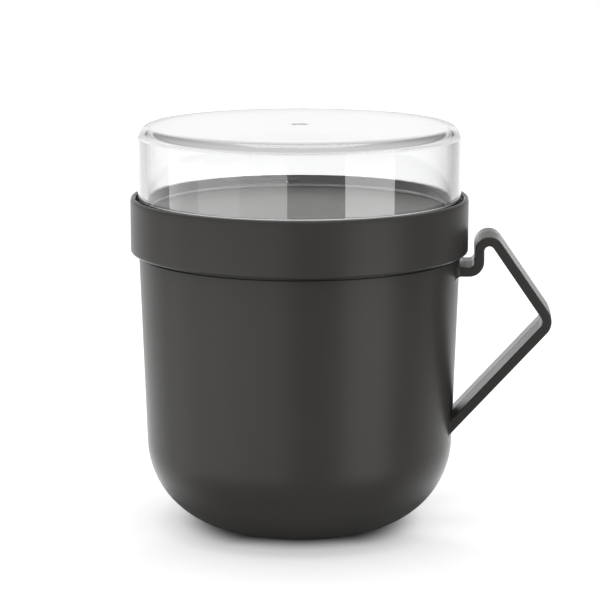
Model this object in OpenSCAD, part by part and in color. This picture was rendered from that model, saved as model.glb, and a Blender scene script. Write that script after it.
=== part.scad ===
/* [Mug body] */
// Outer radius of the body at the shoulder, under the collar
body_r = 53.1; // [46:0.1:60]
// Height of the shoulder that the collar comes down around
shoulder_z = 93.4; // [70:0.1:120]
// Lean of the wall, outwards towards the top, in degrees
wall_draft = 1.9; // [0.5:0.1:3]
// Radius of the round from the wall into the base
base_round = 29; // [15:0.5:34]
// Thickness of the wall
body_wall = 2.4; // [1.8:0.1:3]
// Thickness of the floor
body_floor = 2.6; // [2:0.1:4]
// Depth of the hollow under the base, inside the foot ring
base_hollow = 0.5; // [0.2:0.1:1]
// Width of the foot ring that the mug stands on
foot_ring_w = 4.5; // [3:0.5:8]

/* [Neck and screw thread] */
// Height of the neck above the shoulder
neck_h = 9.1; // [8.5:0.1:14]
// Thickness of the neck's wall
neck_wall = 1.7; // [1.4:0.1:2.4]
// How far a thread ridge stands out
ridge_h = 1; // [0.7:0.05:1.2]
// Height of a ridge where it leaves the wall
ridge_root_w = 1.6; // [1.2:0.1:1.8]
// Height of a ridge along its crest
ridge_crest_w = 0.8; // [0.4:0.1:1.1]
// Rise of the thread in one full turn
lead = 12; // [11:0.5:15]
// Angle that one ridge runs round the neck, in degrees
ridge_arc = 140; // [90:5:150]
// Radial gap between the mating threads
thread_gap = 0.3; // [0.2:0.05:0.5]
// Play between the flanks of mating ridges, up and down
thread_play = 0.25; // [0.15:0.05:0.5]

/* [Screw lid] */
// Thickness of the collar's wall around the thread
collar_wall = 2.3; // [1.9:0.1:4]
// How far the collar comes down past the shoulder
collar_overlap = 0.8; // [0.4:0.1:2]
// Height of the rim above the recessed floor
recess_h = 4.3; // [4:0.1:8]
// Thickness of the lid's floor
lid_floor = 2; // [1.8:0.1:3]
// Thickness of the rim above the floor
rim_wall = 1.7; // [1.6:0.1:2.2]
// Radius of the collar's rounded edges
collar_round = 0.8; // [0.4:0.05:0.8]
// Depth of the ring that plugs into the mug's mouth
plug_h = 3.8; // [2:0.1:6]
// Thickness of that ring
plug_wall = 1.5; // [1:0.1:2]

/* [Lid gasket] */
// Height of the gasket
gasket_h = 2.3; // [1.8:0.1:3]
// Depth of the groove that holds it in the lid
groove_h = 0.5; // [0.3:0.05:0.8]
// Radius of the gasket's soft edges
gasket_round = 0.4; // [0.2:0.05:0.6]

/* [Clear cap] */
// Gap all round between the cap and the lid's rim
cap_gap = 0.8; // [0.4:0.05:1]
// Height of the cap above the lid's rim
cap_h = 23.6; // [15:0.1:60]
// Thickness of the cap's wall
cap_wall = 3.2; // [2:0.1:3.5]
// Thickness of the cap's top
cap_top = 3.2; // [1.6:0.1:4]
// Radius of the round at the cap's top edge
cap_round = 3.4; // [1:0.1:5]
// Radius of the round inside that edge
cap_inner_round = 1; // [0.5:0.1:3]
// Radius of the small moulding dimple in the middle of the top
dimple_r = 2.6; // [1:0.1:5]
// Depth of that dimple
dimple_h = 0.3; // [0.1:0.05:0.6]
// Height of the flat seal under the cap's foot
seal_h = 0.8; // [0.5:0.1:1.2]

/* [Quarter turn lock] */
// Number of lugs round the cap's foot
lugs = 4; // [3:1:4]
// Angle that one lug covers, in degrees
lug_arc = 24; // [16:1:26]
// Height of a lug
lug_w = 0.9; // [0.6:0.05:0.95]
// How far a lug stands out from the foot
lug_h = 1; // [0.7:0.05:1.1]
// Angle that one lip on the lid covers, in degrees
lip_arc = 32; // [28:1:34]
// Height of a lip
lip_w = 0.8; // [0.6:0.05:0.85]
// Gap between lug and lip, and between foot and lip
lug_gap = 0.25; // [0.15:0.05:0.3]

/* [Handle] */
// Width of the strap, across the mug
strap_w = 21; // [14:0.1:30]
// Thickness of the strap along its edges
strap_t = 3.1; // [2:0.1:3.6]
// How much the strap thickens on each side towards its middle line
strap_crown = 0.2; // [0.1:0.05:0.4]
// Radius of the strap's long edges
strap_round = 0.6; // [0.2:0.05:0.8]
// Radius of the fillet where the level tab meets the body
tab_fillet = 1.6; // [0.8:0.1:2.4]
// Radius of the fillet where the lower arm meets the body
foot_fillet = 0.6; // [0.4:0.1:1.2]
// Drop from the shoulder to the middle of the level tab
tab_drop = 6.2; // [5:0.1:12]
// Clear gap between the collar and the upright leg
leg_gap = 2.1; // [1:0.1:4]
// Rise from the collar's lower edge to the top of the hump
hump_rise = 6.3; // [3:0.1:12]
// Slope of the upper arm, in degrees below level
arm_slope = 55.3; // [50:0.1:62]
// How far the elbow's corner stands out from the shoulder's radius
elbow_out = 30.1; // [24:0.1:36]
// Height of the lower arm's middle where it meets the wall
foot_z = 35.5; // [30:0.1:42]
// Middle radius of the bend from the tab into the leg
tab_bend = 3.4; // [2.4:0.1:4]
// Middle radius of the hump's bend
hump_bend = 3.2; // [2.4:0.1:4]
// Middle radius of the elbow's bend
elbow_bend = 4.2; // [3:0.1:8]

/* [Hidden] */

// Smoothness of turned surfaces, and what every cut runs past its solid
$fn = 96;
overrun = 1;
// Air left round the two seals, which fill their seats without being squeezed
seat_gap = 0.05;
// How deep a ridge, lug or lip is rooted in its wall
bite = 0.4;
// Small bevel on corners that nobody touches
bevel = 0.4;
// Angles of one facet and of the sloped ends along a thread ridge, and along a lug or lip
thread_step = 5;
thread_fade = 12;
lock_step = 4;
lock_fade = 3;
// Starts of the main thread, and where its first ridge begins, in degrees from the handle
starts = 3;
thread_turn = 12.5;
// Radius of the mouth's rounded rim, as a share of the neck's wall
lip_share = 0.6;

// Mug body
neck_in_r = body_r - body_wall;
neck_r = neck_in_r + neck_wall;
mouth_z = shoulder_z + neck_h;

// Screw lid: its floor lies on the gasket, which lies on the mouth
collar_z = shoulder_z - collar_overlap;
collar_in_r = neck_r + ridge_h + thread_gap;
collar_r = collar_in_r + collar_wall;
gasket_z = mouth_z + seat_gap;
groove_z = gasket_z + gasket_h + seat_gap;
under_z = groove_z - groove_h;
floor_z = under_z + lid_floor;
rim_z = floor_z + recess_h;
recess_r = collar_r - rim_wall;
cove_r = rim_wall / 3;
plug_r = neck_in_r - ridge_h;
gasket_in_r = plug_r + seat_gap;
groove_r = neck_r + seat_gap;
gasket_r = groove_r - seat_gap;

// Screw thread: the lid's ridges run just under the mug's ridges
flank_drop = ridge_root_w + thread_play;
mug_ridge_z = mouth_z - neck_wall - ridge_root_w / 2 - lead * ridge_arc / 360;
lid_ridge_z = shoulder_z + bevel + ridge_root_w / 2;
lid_ridge_turn = thread_turn + 360 * (lid_ridge_z + flank_drop - mug_ridge_z) / lead;

// Clear cap and its lock
foot_r = recess_r - lug_h - lug_gap;
lip_crest_r = foot_r + lug_gap;
cap_r = recess_r - cap_gap;
cap_in_r = cap_r - cap_wall;
seal_z = floor_z + seat_gap;
foot_bottom_z = seal_z + seal_h + seat_gap;
cap_top_z = rim_z + cap_h;
lip_rise = lead * lip_arc / 360;
lip_z = rim_z - cove_r - lip_w / 2 - lip_rise;
lug_start = (lip_arc - lug_arc) / 2;
lug_z = lip_z + lead * lug_start / 360 - lip_w / 2 - lug_gap / 2 - lug_w / 2;
lock_turn = 93.9;
// Short upright ribs beyond each lug, which the hand feels as the lock closes
click_w = lug_h / 2;
click_h = lug_h / 2;
click_angles = [1.2, 2.5, 4.6];

// Handle: corners of the strap's middle line, seen from the side
leg_x = collar_r + leg_gap + strap_t / 2;
tab_z = shoulder_z - tab_drop;
elbow_x = body_r + elbow_out;
hump_turn = 90 + arm_slope;
hump_z = collar_z + hump_rise - strap_t / 2 - hump_bend + hump_bend * tan(hump_turn / 2);
elbow_z = hump_z - (elbow_x - leg_x) * tan(arm_slope);
tab_root = [side_r(tab_z) - 2 * body_wall, tab_z];
arm_foot = [side_r(foot_z), foot_z];
arm_corner = [elbow_x, elbow_z];
arm_dir = unit(arm_foot - arm_corner);
arm_root = arm_foot + arm_dir * (2 * body_wall);
bend_step = 10;
fillet_shares = [0, 0.15, 0.35, 0.6, 1];

// Outer radius of the body's wall at height z
function side_r(z) = body_r - (shoulder_z - z) * tan(wall_draft);

function unit(v) = v / norm(v);

function heading(v) = atan2(v[1], v[0]);

// Signed turn from direction u to direction v
function turn_between(u, v) = atan2(cross(u, v), u * v);

// Stations [x, z, heading, thickening] round the corner p between a and b
function bend(a, p, b, r) =
    let (turn = turn_between(p - a, b - p))
    let (side = sign(turn), reach = r * tan(abs(turn) / 2))
    let (from = p - unit(p - a) * reach, h0 = heading(p - a))
    let (centre = from + r * side * [-sin(h0), cos(h0)])
    let (steps = ceil(abs(turn) / bend_step))
    [for (i = [0 : steps])
        let (h = h0 + turn * i / steps)
        [centre[0] + r * side * sin(h), centre[1] - r * side * cos(h), h, 0]];

// Thickening of the strap at a distance d from the wall, along a fillet of radius r
function flare(d, r) = r - sqrt(pow(r, 2) - pow(r - d, 2));

// Stations along a fillet of radius r, from the wall outwards in direction dir
function fillet_run(wall_point, dir, r) =
    [for (s = fillet_shares)
        let (d = s * r, at = wall_point + dir * d)
        [at[0], at[1], heading(dir), flare(d, r)]];

// The same stations met on the way back to the wall
function back_run(wall_point, dir, r) =
    let (out = fillet_run(wall_point, dir, r))
    [for (i = [len(out) - 1 : -1 : 0]) [out[i][0], out[i][1], out[i][2] + 180, out[i][3]]];

// Outline of the strap's section as [through, across], crowned on both faces
function strap_section(extra) =
    let (half_w = strap_w / 2, half_t = strap_t / 2 + extra, c = strap_round)
    let (corner = [for (a = [0 : 30 : 90]) [half_t - c + c * cos(a), half_w - c + c * sin(a)]])
    let (quarter = concat([[half_t + strap_crown, 0]], corner))
    concat(
        quarter,
        [for (i = [len(corner) - 1 : -1 : 0]) [-corner[i][0], corner[i][1]]],
        [for (p = quarter) [-p[0], -p[1]]],
        [for (i = [len(corner) - 1 : -1 : 0]) [corner[i][0], -corner[i][1]]]);

// One ring of the strap, set square across its path
function strap_ring(s) =
    [for (p = strap_section(s[3])) [s[0] - sin(s[2]) * p[0], p[1], s[1] + cos(s[2]) * p[0]]];

function strap_path() =
    let (tab_wall = [side_r(tab_z), tab_z], leg_low = [leg_x, tab_z], leg_high = [leg_x, hump_z])
    concat(
        [[tab_root[0], tab_root[1], 0, tab_fillet]],
        fillet_run(tab_wall, [1, 0], tab_fillet),
        bend(tab_root, leg_low, leg_high, tab_bend),
        bend(leg_low, leg_high, arm_corner, hump_bend),
        bend(leg_high, arm_corner, arm_root, elbow_bend),
        back_run(arm_foot, -arm_dir, foot_fillet),
        [[arm_root[0], arm_root[1], heading(arm_dir), foot_fillet]]);

// Share of a ridge's height at angle a, fading into the wall over the first and last degrees
function fade(a, arc, fade_arc) = min(1, a / fade_arc, (arc - a) / fade_arc);

// One section of a helical ridge as points on the half plane at angle a
function ridge_ring(a, arc, fade_arc, root, tall, root_w, crest_w, rise) =
    let (full = sign(tall) * bite, top = -full / 2 + (tall + full / 2) * fade(a, arc, fade_arc))
    [for (p = [
            [root - full, -root_w / 2],
            [root + top, -crest_w / 2],
            [root + top, crest_w / 2],
            [root - full, root_w / 2]])
        [p[0] * cos(a), p[0] * sin(a), p[1] + rise * a / 360]];

// A closed skin through rings of points, with a flat face at each end
module loft(rings) {
    n = len(rings[0]);
    m = len(rings);
    sides = [for (k = [0 : m - 2]) for (i = [0 : n - 1])
        let (a = k * n + i, b = k * n + (i + 1) % n)
        each [[a, b, b + n], [a, b + n, a + n]]];
    first = [for (i = [n - 1 : -1 : 0]) i];
    last = [for (i = [0 : n - 1]) (m - 1) * n + i];
    polyhedron(points = [for (ring = rings) each ring], faces = concat(sides, [first, last]));
}

// A helical ridge on the wall of radius root, tall outwards, or inwards when tall is negative
module ridge(root, tall, root_w, crest_w, arc, step, fade_arc) {
    steps = ceil(arc / step);
    rings = [for (i = [0 : steps])
        ridge_ring(arc * i / steps, arc, fade_arc, root, tall, root_w, crest_w, lead)];
    if (tall > 0) {
        loft(rings);
    } else {
        loft([for (i = [steps : -1 : 0]) rings[i]]);
    }
}

// Half section with one rounded corner, outside and on top
module dome_section(r, h, c) {
    square([r, h - c]);
    square([r - c, h]);
    translate([r - c, h - c]) circle(r = c);
}

// Half section of a ring with four rounded corners
module ring_section(r0, z0, r1, z1, c) {
    translate([r0 + c, z0]) square([r1 - r0 - 2 * c, z1 - z0]);
    translate([r0, z0 + c]) square([r1 - r0, z1 - z0 - 2 * c]);
    for (r = [r0 + c, r1 - c], z = [z0 + c, z1 - c]) {
        translate([r, z]) circle(r = c, $fn = 32);
    }
}

// Half section of the body's outside or inside: a leaning wall on a round base
module tub_section(inset, base_z, c, top_z) {
    round_z = base_z + c;
    wall_inset = inset / cos(wall_draft);
    round_r = side_r(round_z) - wall_inset - c / cos(wall_draft);
    touch = [round_r + c * cos(wall_draft), round_z - c * sin(wall_draft)];
    top_r = side_r(top_z) - wall_inset;
    polygon([[0, base_z], [round_r, base_z], touch, [top_r, top_z], [0, top_z]]);
    intersection() {
        translate([round_r, round_z]) circle(r = c, $fn = 180);
        translate([round_r, base_z]) square([c, c]);
    }
}

// Everything inside the mug, from its floor out through the mouth
module mug_hollow() {
    bend_z = shoulder_z - tab_drop;
    rotate_extrude() {
        tub_section(body_wall, body_floor, base_round - body_wall, bend_z);
        polygon([
            [0, bend_z - bevel],
            [side_r(bend_z - bevel) - body_wall / cos(wall_draft), bend_z - bevel],
            [side_r(bend_z) - body_wall / cos(wall_draft), bend_z],
            [neck_in_r, shoulder_z],
            [neck_in_r, mouth_z + overrun],
            [0, mouth_z + overrun]]);
    }
}

module mug_neck() {
    lip_r = neck_wall * lip_share;
    rotate_extrude() {
        translate([neck_in_r - bevel, shoulder_z - neck_wall])
            square([neck_wall + bevel, neck_h + neck_wall - lip_r]);
        translate([neck_r - lip_r, mouth_z - lip_r]) circle(r = lip_r, $fn = 32);
    }
    for (k = [0 : starts - 1]) {
        rotate([0, 0, thread_turn + 360 * k / starts]) translate([0, 0, mug_ridge_z])
            ridge(neck_r, ridge_h, ridge_root_w, ridge_crest_w, ridge_arc, thread_step, thread_fade);
    }
}

module handle_strap() {
    loft([for (s = strap_path()) strap_ring(s)]);
}

module mug_body() {
    edge_z = shoulder_z - bevel;
    ring_out_r = side_r(base_round) - base_round / cos(wall_draft);
    color("#464543")
    difference() {
        union() {
            rotate_extrude() {
                tub_section(0, 0, base_round, edge_z);
                polygon([[0, edge_z], [side_r(edge_z), edge_z], [neck_r, shoulder_z], [0, shoulder_z]]);
            }
            mug_neck();
            handle_strap();
        }
        mug_hollow();
        translate([0, 0, -overrun]) cylinder(r = ring_out_r - foot_ring_w, h = base_hollow + overrun);
    }
}

module lid_gasket() {
    color("#6f6d6a")
    rotate_extrude()
        ring_section(gasket_in_r, gasket_z, gasket_r, gasket_z + gasket_h, gasket_round);
}

module lid_shell_section() {
    difference() {
        union() {
            ring_section(collar_in_r, collar_z, collar_r, floor_z, collar_round);
            ring_section(recess_r, under_z, collar_r, rim_z, collar_round);
            translate([0, under_z]) square([recess_r + bevel, lid_floor]);
            ring_section(plug_r - plug_wall, under_z - plug_h, plug_r, floor_z, plug_wall / 3);
            difference() {
                translate([recess_r - cove_r, floor_z - cove_r]) square([2 * cove_r, 2 * cove_r]);
                translate([recess_r - cove_r, floor_z + cove_r]) circle(r = cove_r, $fn = 32);
            }
        }
        translate([plug_r, under_z - overrun]) square([groove_r - plug_r, groove_h + overrun]);
    }
}

module screw_lid() {
    color("#464543") {
        rotate_extrude() lid_shell_section();
        for (k = [0 : starts - 1]) {
            rotate([0, 0, lid_ridge_turn + 360 * k / starts]) translate([0, 0, lid_ridge_z])
                ridge(collar_in_r, -ridge_h, ridge_root_w, ridge_crest_w, ridge_arc,
                    thread_step, thread_fade);
        }
        for (k = [0 : lugs - 1]) {
            rotate([0, 0, lock_turn + 360 * k / lugs]) translate([0, 0, lip_z])
                ridge(recess_r, lip_crest_r - recess_r, lip_w, lip_w, lip_arc, lock_step, lock_fade);
        }
    }
}

module cap_seal() {
    color("#a9a9a6")
    rotate_extrude()
        ring_section(cap_in_r, seal_z, foot_r, seal_z + seal_h, seal_h / 3);
}

module cap_shell() {
    difference() {
        rotate_extrude() {
            translate([0, foot_bottom_z]) dome_section(cap_r, cap_top_z - foot_bottom_z, cap_round);
        }
        rotate_extrude() {
            translate([0, foot_bottom_z - overrun])
                dome_section(cap_in_r, cap_top_z - cap_top - foot_bottom_z + overrun, cap_inner_round);
        }
        rotate_extrude() {
            translate([foot_r, foot_bottom_z - overrun])
                square([cap_r - foot_r + overrun, rim_z - foot_bottom_z + overrun]);
        }
        translate([0, 0, cap_top_z - dimple_h]) cylinder(r = dimple_r, h = dimple_h + overrun);
    }
}

module clear_cap() {
    color([0.93, 0.95, 0.96, 0.35]) {
        cap_shell();
        for (k = [0 : lugs - 1]) {
            rotate([0, 0, lock_turn + lug_start + 360 * k / lugs]) {
                translate([0, 0, lug_z])
                    ridge(foot_r, lug_h, lug_w, lug_w, lug_arc, lock_step, lock_fade);
                for (a = click_angles) {
                    rib_top_z = lug_z + lug_w / 2 - lead * a / 360;
                    rotate([0, 0, -a])
                    translate([foot_r - bite, -click_w / 2, foot_bottom_z])
                        cube([bite + click_h, click_w, rib_top_z - foot_bottom_z]);
                }
            }
        }
    }
}

mug_body();
lid_gasket();
screw_lid();
cap_seal();
clear_cap();
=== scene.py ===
import math

import bpy
from mathutils import Matrix, Vector


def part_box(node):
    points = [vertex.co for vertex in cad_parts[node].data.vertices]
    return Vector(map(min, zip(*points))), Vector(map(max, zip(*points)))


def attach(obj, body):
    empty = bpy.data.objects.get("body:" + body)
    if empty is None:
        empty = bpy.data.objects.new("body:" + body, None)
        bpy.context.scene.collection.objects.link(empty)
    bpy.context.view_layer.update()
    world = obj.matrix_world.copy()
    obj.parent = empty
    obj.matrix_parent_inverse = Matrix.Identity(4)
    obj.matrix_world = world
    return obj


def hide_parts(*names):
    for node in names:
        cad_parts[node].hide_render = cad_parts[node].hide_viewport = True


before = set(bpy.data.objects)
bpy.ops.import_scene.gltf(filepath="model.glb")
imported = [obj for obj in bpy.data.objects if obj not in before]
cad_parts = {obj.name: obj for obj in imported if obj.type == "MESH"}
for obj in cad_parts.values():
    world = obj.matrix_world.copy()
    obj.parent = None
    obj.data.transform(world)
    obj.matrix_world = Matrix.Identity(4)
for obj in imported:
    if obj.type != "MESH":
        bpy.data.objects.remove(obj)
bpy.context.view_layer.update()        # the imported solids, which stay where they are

mm = 0.001
axisPoint = 1e-7                  # a radius under this is a single point on the turning axis
hair = 1e-6                       # two lengths this close are the same
sharpAngle = math.radians(42)     # edges bent further than this stay crisp


# Outlines. A corner is a point of a half section, with its own rounding, edge wear and mesh step.

def corner(r, z, bend=0.0, wear=0.0, step=2.0):
    return {"at": Vector((r, z)) * mm, "bend": bend * mm, "wear": wear, "step": step * mm}


def turnBetween(u, v):
    return math.atan2(u.x * v.y - u.y * v.x, u.dot(v))


def arcAround(a, p, b, radius, arcStep):
    # points of the round that replaces the corner p between a and b, with a share along it
    u, v = (p - a).normalized(), (b - p).normalized()
    turn = turnBetween(u, v)
    reach = radius * math.tan(abs(turn) / 2)
    side = 1 if turn > 0 else -1
    start = p - u * reach
    centre = start + Vector((-u.y, u.x)) * radius * side
    steps = max(3, math.ceil(abs(math.degrees(turn)) / arcStep))
    spoke = start - centre
    points = []
    for i in range(steps + 1):
        t = i / steps
        c, s = math.cos(turn * t), math.sin(turn * t)
        points.append((centre + Vector((c * spoke.x - s * spoke.y, s * spoke.x + c * spoke.y)), t))
    return points


def outline(corners, arcStep=9.0, closed=False):
    # rows (r, z, wear) along the corners: rounds become arcs, and straight runs short steps
    count = len(corners)
    rough = []
    for i, c in enumerate(corners):
        inside = closed or 0 < i < count - 1
        if not inside or c["bend"] == 0:
            rough.append((c["at"], c["wear"], c["step"]))
            continue
        before, after = corners[i - 1]["at"], corners[(i + 1) % count]["at"]
        for p, t in arcAround(before, c["at"], after, c["bend"], arcStep):
            rough.append((p, c["wear"] * math.sin(math.pi * t), c["step"]))
    rows = []
    start = 0 if closed else 1
    if not closed:
        rows.append((rough[0][0].x, rough[0][0].y, rough[0][1]))
    for i in range(start, len(rough)):
        a, wearA, _ = rough[i - 1]
        b, wearB, step = rough[i]
        pieces = max(1, math.ceil((b - a).length / step - hair))
        for k in range(1, pieces + 1):
            p = a.lerp(b, k / pieces)
            rows.append((p.x, p.y, wearB if k == pieces else 0.0))
    return rows


def evenAngles(count, extra=()):
    # column angles in degrees: an even division, plus a few where a detail needs its own edge
    step = 360 / count
    tooNear = step * 0.3     # an even column this close to an extra one is left out
    columns = set(round(e % 360, 4) for e in extra)
    for k in range(count):
        a = k * step
        if all(abs((a - e + 180) % 360 - 180) > tooNear for e in extra):
            columns.add(round(a, 4))
    return sorted(columns)


# Meshes

def meshObject(name, points, faces, wear):
    mesh = bpy.data.meshes.new(name)
    mesh.from_pydata(points, [], faces)
    mesh.attributes.new("edgeWear", "FLOAT", "POINT").data.foreach_set("value", wear)
    mesh.polygons.foreach_set("use_smooth", [True] * len(mesh.polygons))
    mesh.update()
    mesh.set_sharp_from_angle(angle=sharpAngle)
    piece = bpy.data.objects.new(name, mesh)
    bpy.context.scene.collection.objects.link(piece)
    return piece


def turned(name, rows, angles, closed=False, push=None):
    # a surface turned round Z; push gives how far a point moves outwards, and its extra wear
    points, faces, wear, rings = [], [], [], []
    count = len(angles)
    for r, z, w in rows:
        rings.append(len(points))
        if r < axisPoint:
            points.append((0, 0, z))
            wear.append(w)
            continue
        for a in angles:
            extra, more = push(r, z, a) if push else (0, 0)
            radius, turn = r + extra, math.radians(a)
            points.append((radius * math.cos(turn), radius * math.sin(turn), z))
            wear.append(max(w, more))
    bands = len(rows) if closed else len(rows) - 1
    for i in range(bands):
        k = (i + 1) % len(rows)
        low, high = rings[i], rings[k]
        for j in range(count):
            n = (j + 1) % count
            if rows[i][0] < axisPoint:
                faces.append((low, high + n, high + j))
            elif rows[k][0] < axisPoint:
                faces.append((low + j, low + n, high))
            else:
                faces.append((low + j, low + n, high + n, high + j))
    return meshObject(name, points, faces, wear)


def lofted(name, rings, wearRing):
    # a closed skin through rings of equal count, with a fan at each end
    points, faces, wear = [], [], []
    n = len(rings[0])
    for ring in rings:
        points += ring
        wear += wearRing
    for k in range(len(rings) - 1):
        for i in range(n):
            j = (i + 1) % n
            faces.append((k * n + i, (k + 1) * n + i, (k + 1) * n + j, k * n + j))
    for ring, base, order in ((rings[0], 0, 1), (rings[-1], (len(rings) - 1) * n, -1)):
        middle = sum((Vector(p) for p in ring), Vector()) / n
        points.append(tuple(middle))
        wear.append(0.0)
        centre = len(points) - 1
        for i in range(n):
            j = (i + 1) % n
            faces.append((base + i, base + j, centre)[::order])
    return meshObject(name, points, faces, wear)


def fuse(base, tool):
    # joins the tool into the base as one skin
    union = base.modifiers.new("union", "BOOLEAN")
    union.operation = "UNION"
    union.solver = "EXACT"
    union.object = tool
    ready = base.evaluated_get(bpy.context.evaluated_depsgraph_get())
    whole = bpy.data.meshes.new_from_object(ready)
    base.modifiers.clear()
    base.data = whole
    whole.set_sharp_from_angle(angle=sharpAngle)
    bpy.data.objects.remove(tool)
    return base


def ramp(t):
    # an even step from 0 to 1
    t = min(1.0, max(0.0, t))
    return t * t * (3 - 2 * t)


def helixPush(z, angle, ridge):
    # how far a helical ridge stands out at this height and angle, from 0 to 1
    flankWide = max((ridge["root"] - ridge["crest"]) / 2, 0.02)     # never quite upright
    best = 0.0
    for k in range(ridge["count"]):
        a = (angle - ridge["turn"] - 360 * k / ridge["count"]) % 360
        if a > ridge["arc"]:
            continue
        away = abs(z - ridge["z"] * mm - ridge["lead"] * mm * a / 360) / mm
        flank = (ridge["root"] / 2 - away) / flankWide
        ends = min(a, ridge["arc"] - a) / ridge["fade"]
        best = max(best, ramp(flank) * ramp(ends))
    return best


# Sizes that the pieces share, in millimetres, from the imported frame

def inMm(box):
    return [[c / mm for c in point] for point in box]


mugLow, mugHigh = inMm(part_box("mug_body"))
gasketLow, gasketHigh = inMm(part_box("lid_gasket"))
lidLow, lidHigh = inMm(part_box("screw_lid"))
sealLow, sealHigh = inMm(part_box("cap_seal"))
capLow, capHigh = inMm(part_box("clear_cap"))

thread = {
    "lead": 12.0,       # rise in one turn
    "count": 3,
    "arc": 140.0,       # degrees that each ridge runs
    "fade": 12.0,       # degrees over which its ends run out
    "root": 1.6,
    "crest": 0.8,
    "tall": 1.0,
    "turn": 12.5,       # where the mug's first ridge starts, from the handle
    "play": 0.25,       # between the ridges of mug and lid
    "wear": 0.3,
    "rowStep": 0.13,    # mesh rows this close draw the ridge
}
lock = {
    "lugs": 4,
    "turn": 93.9,             # where the first lip starts, from the handle
    "lipArc": 32.0,
    "lipTall": 0.8,
    "lipFlank": 0.2,          # how much wider a lip is at its root
    "lugArc": 24.0,
    "lugTall": 0.9,
    "lugFlank": 0.16,         # the same for a lug
    "lugEase": 0.04,          # and how much narrower it is at its crest
    "lugOut": 1.0,
    "fade": 3.0,
    "lugFade": 0.6,
    "gap": 0.25,
    "ribs": (1.2, 2.5, 4.6),  # click ribs, in degrees ahead of each lug
    "ribHalf": 0.25,          # half a rib's width
}


# Mug body with its handle

mugSizes = {
    "draft": 1.9,         # lean of the wall in degrees
    "baseRound": 29.0,
    "wall": 2.4,
    "floor": 2.6,
    "hollow": 0.5,        # the shallow hollow inside the foot ring
    "footWidth": 4.5,
    "footBend": 0.2,
    "shoulderDrop": 0.8,  # the collar ends this far under the shoulder
    "shoulderBend": 0.5,
    "gapTop": 0.75,       # the shadow line under the collar, down from the shoulder
    "gapLow": 1.9,
    "gapDeep": 0.6,
    "gapBend": 0.08,
    "neckWall": 1.7,
    "neckBend": 2.0,      # the soft bends where the inside widens to the neck
    "mouthBend": 0.8,
    "mouthInBend": 0.7,
    "edge": 0.4,          # the solid is widest this far under its shoulder
    "columns": 288,
}
shoulderZ = lidLow[2] + mugSizes["shoulderDrop"]
leanSlope = math.tan(math.radians(mugSizes["draft"]))
bodyR = -mugLow[0] + mugSizes["edge"] * leanSlope
neckInR = bodyR - mugSizes["wall"]
neckR = neckInR + mugSizes["neckWall"]
mouthZ = mugHigh[2]


def sideR(z):
    # the body's outer radius at this height
    return bodyR - (shoulderZ - z) * leanSlope


def mugThread():
    # the ridges end a wall's thickness under the mouth
    rise = thread["lead"] * thread["arc"] / 360
    return {**thread, "z": mouthZ - mugSizes["neckWall"] - thread["root"] / 2 - rise}


def makeMugShell():
    s = mugSizes
    inner = s["wall"] / math.cos(math.radians(s["draft"]))
    footOut = sideR(0) - s["baseRound"] * math.tan(math.radians((90 - s["draft"]) / 2))
    footIn = footOut - s["footWidth"]
    tabLine = shoulderZ - strapSizes["tabDrop"]
    gapTop, gapLow = shoulderZ - s["gapTop"], shoulderZ - s["gapLow"]
    rows = outline([
        corner(0, s["hollow"]),
        corner(footIn, s["hollow"], bend=s["footBend"]),
        corner(footIn, 0, bend=s["footBend"], step=0.5),
        corner(sideR(0), 0, bend=s["baseRound"]),
        corner(sideR(gapLow), gapLow, bend=s["gapBend"]),
        corner(sideR(gapLow) - s["gapDeep"], gapLow, bend=s["gapBend"]),
        corner(sideR(gapTop) - s["gapDeep"], gapTop, bend=s["gapBend"]),
        corner(sideR(gapTop), gapTop, bend=s["gapBend"]),
        corner(sideR(shoulderZ), shoulderZ, bend=s["shoulderBend"], wear=0.4),
        corner(neckR, shoulderZ, bend=s["shoulderBend"]),
        corner(neckR, mouthZ, bend=s["mouthBend"], wear=0.3, step=thread["rowStep"]),
        corner(neckInR, mouthZ, bend=s["mouthInBend"], wear=0.3, step=0.3),
        corner(neckInR, shoulderZ, bend=s["neckBend"]),
        corner(sideR(tabLine) - inner, tabLine, bend=s["neckBend"]),
        corner(sideR(s["floor"]) - inner, s["floor"], bend=s["baseRound"] - s["wall"]),
        corner(0, s["floor"], step=3),
    ], arcStep=4)
    ridges = mugThread()

    def push(r, z, a):
        if abs(r - neckR * mm) > hair:
            return 0, 0
        out = helixPush(z, a, ridges)
        return out * thread["tall"] * mm, thread["wear"] * out

    return turned("mugBody", rows, evenAngles(s["columns"]), push=push)


strapSizes = {
    "width": 21.0,
    "thick": 3.1,
    "crown": 0.2,       # extra on each side along the middle line
    "round": 0.6,
    "fillet": 1.6,      # round at the tab's root
    "footFillet": 0.6,
    "tabDrop": 6.2,     # the tab's middle line, down from the shoulder
    "legGap": 2.1,      # between the collar and the upright leg
    "humpRise": 6.3,    # the hump's top, up from the collar's lower edge
    "armSlope": 55.3,
    "footZ": 35.5,
    "tabBend": 3.4,
    "humpBend": 3.2,
    "elbowBend": 4.2,
    "seamWidth": 0.5,   # the mould's parting line along the strap
    "seamDeep": 0.14,
    "seamFlank": 0.15,
    "wear": 0.7,
    "bendStep": 5.0,    # degrees between rings in a bend
    "straightStep": 3.0,
    "roundSteps": 6,
    "edgeColumn": 0.4,  # a mesh column this far inside the edge's round
    "rootDeep": 1.2,    # the strap's ends lie this far inside the wall
    "rootClear": 3.0,   # no plain ring stands closer to the tab's root, or to the arm's foot
    "footClear": 4.8,
}


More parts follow.
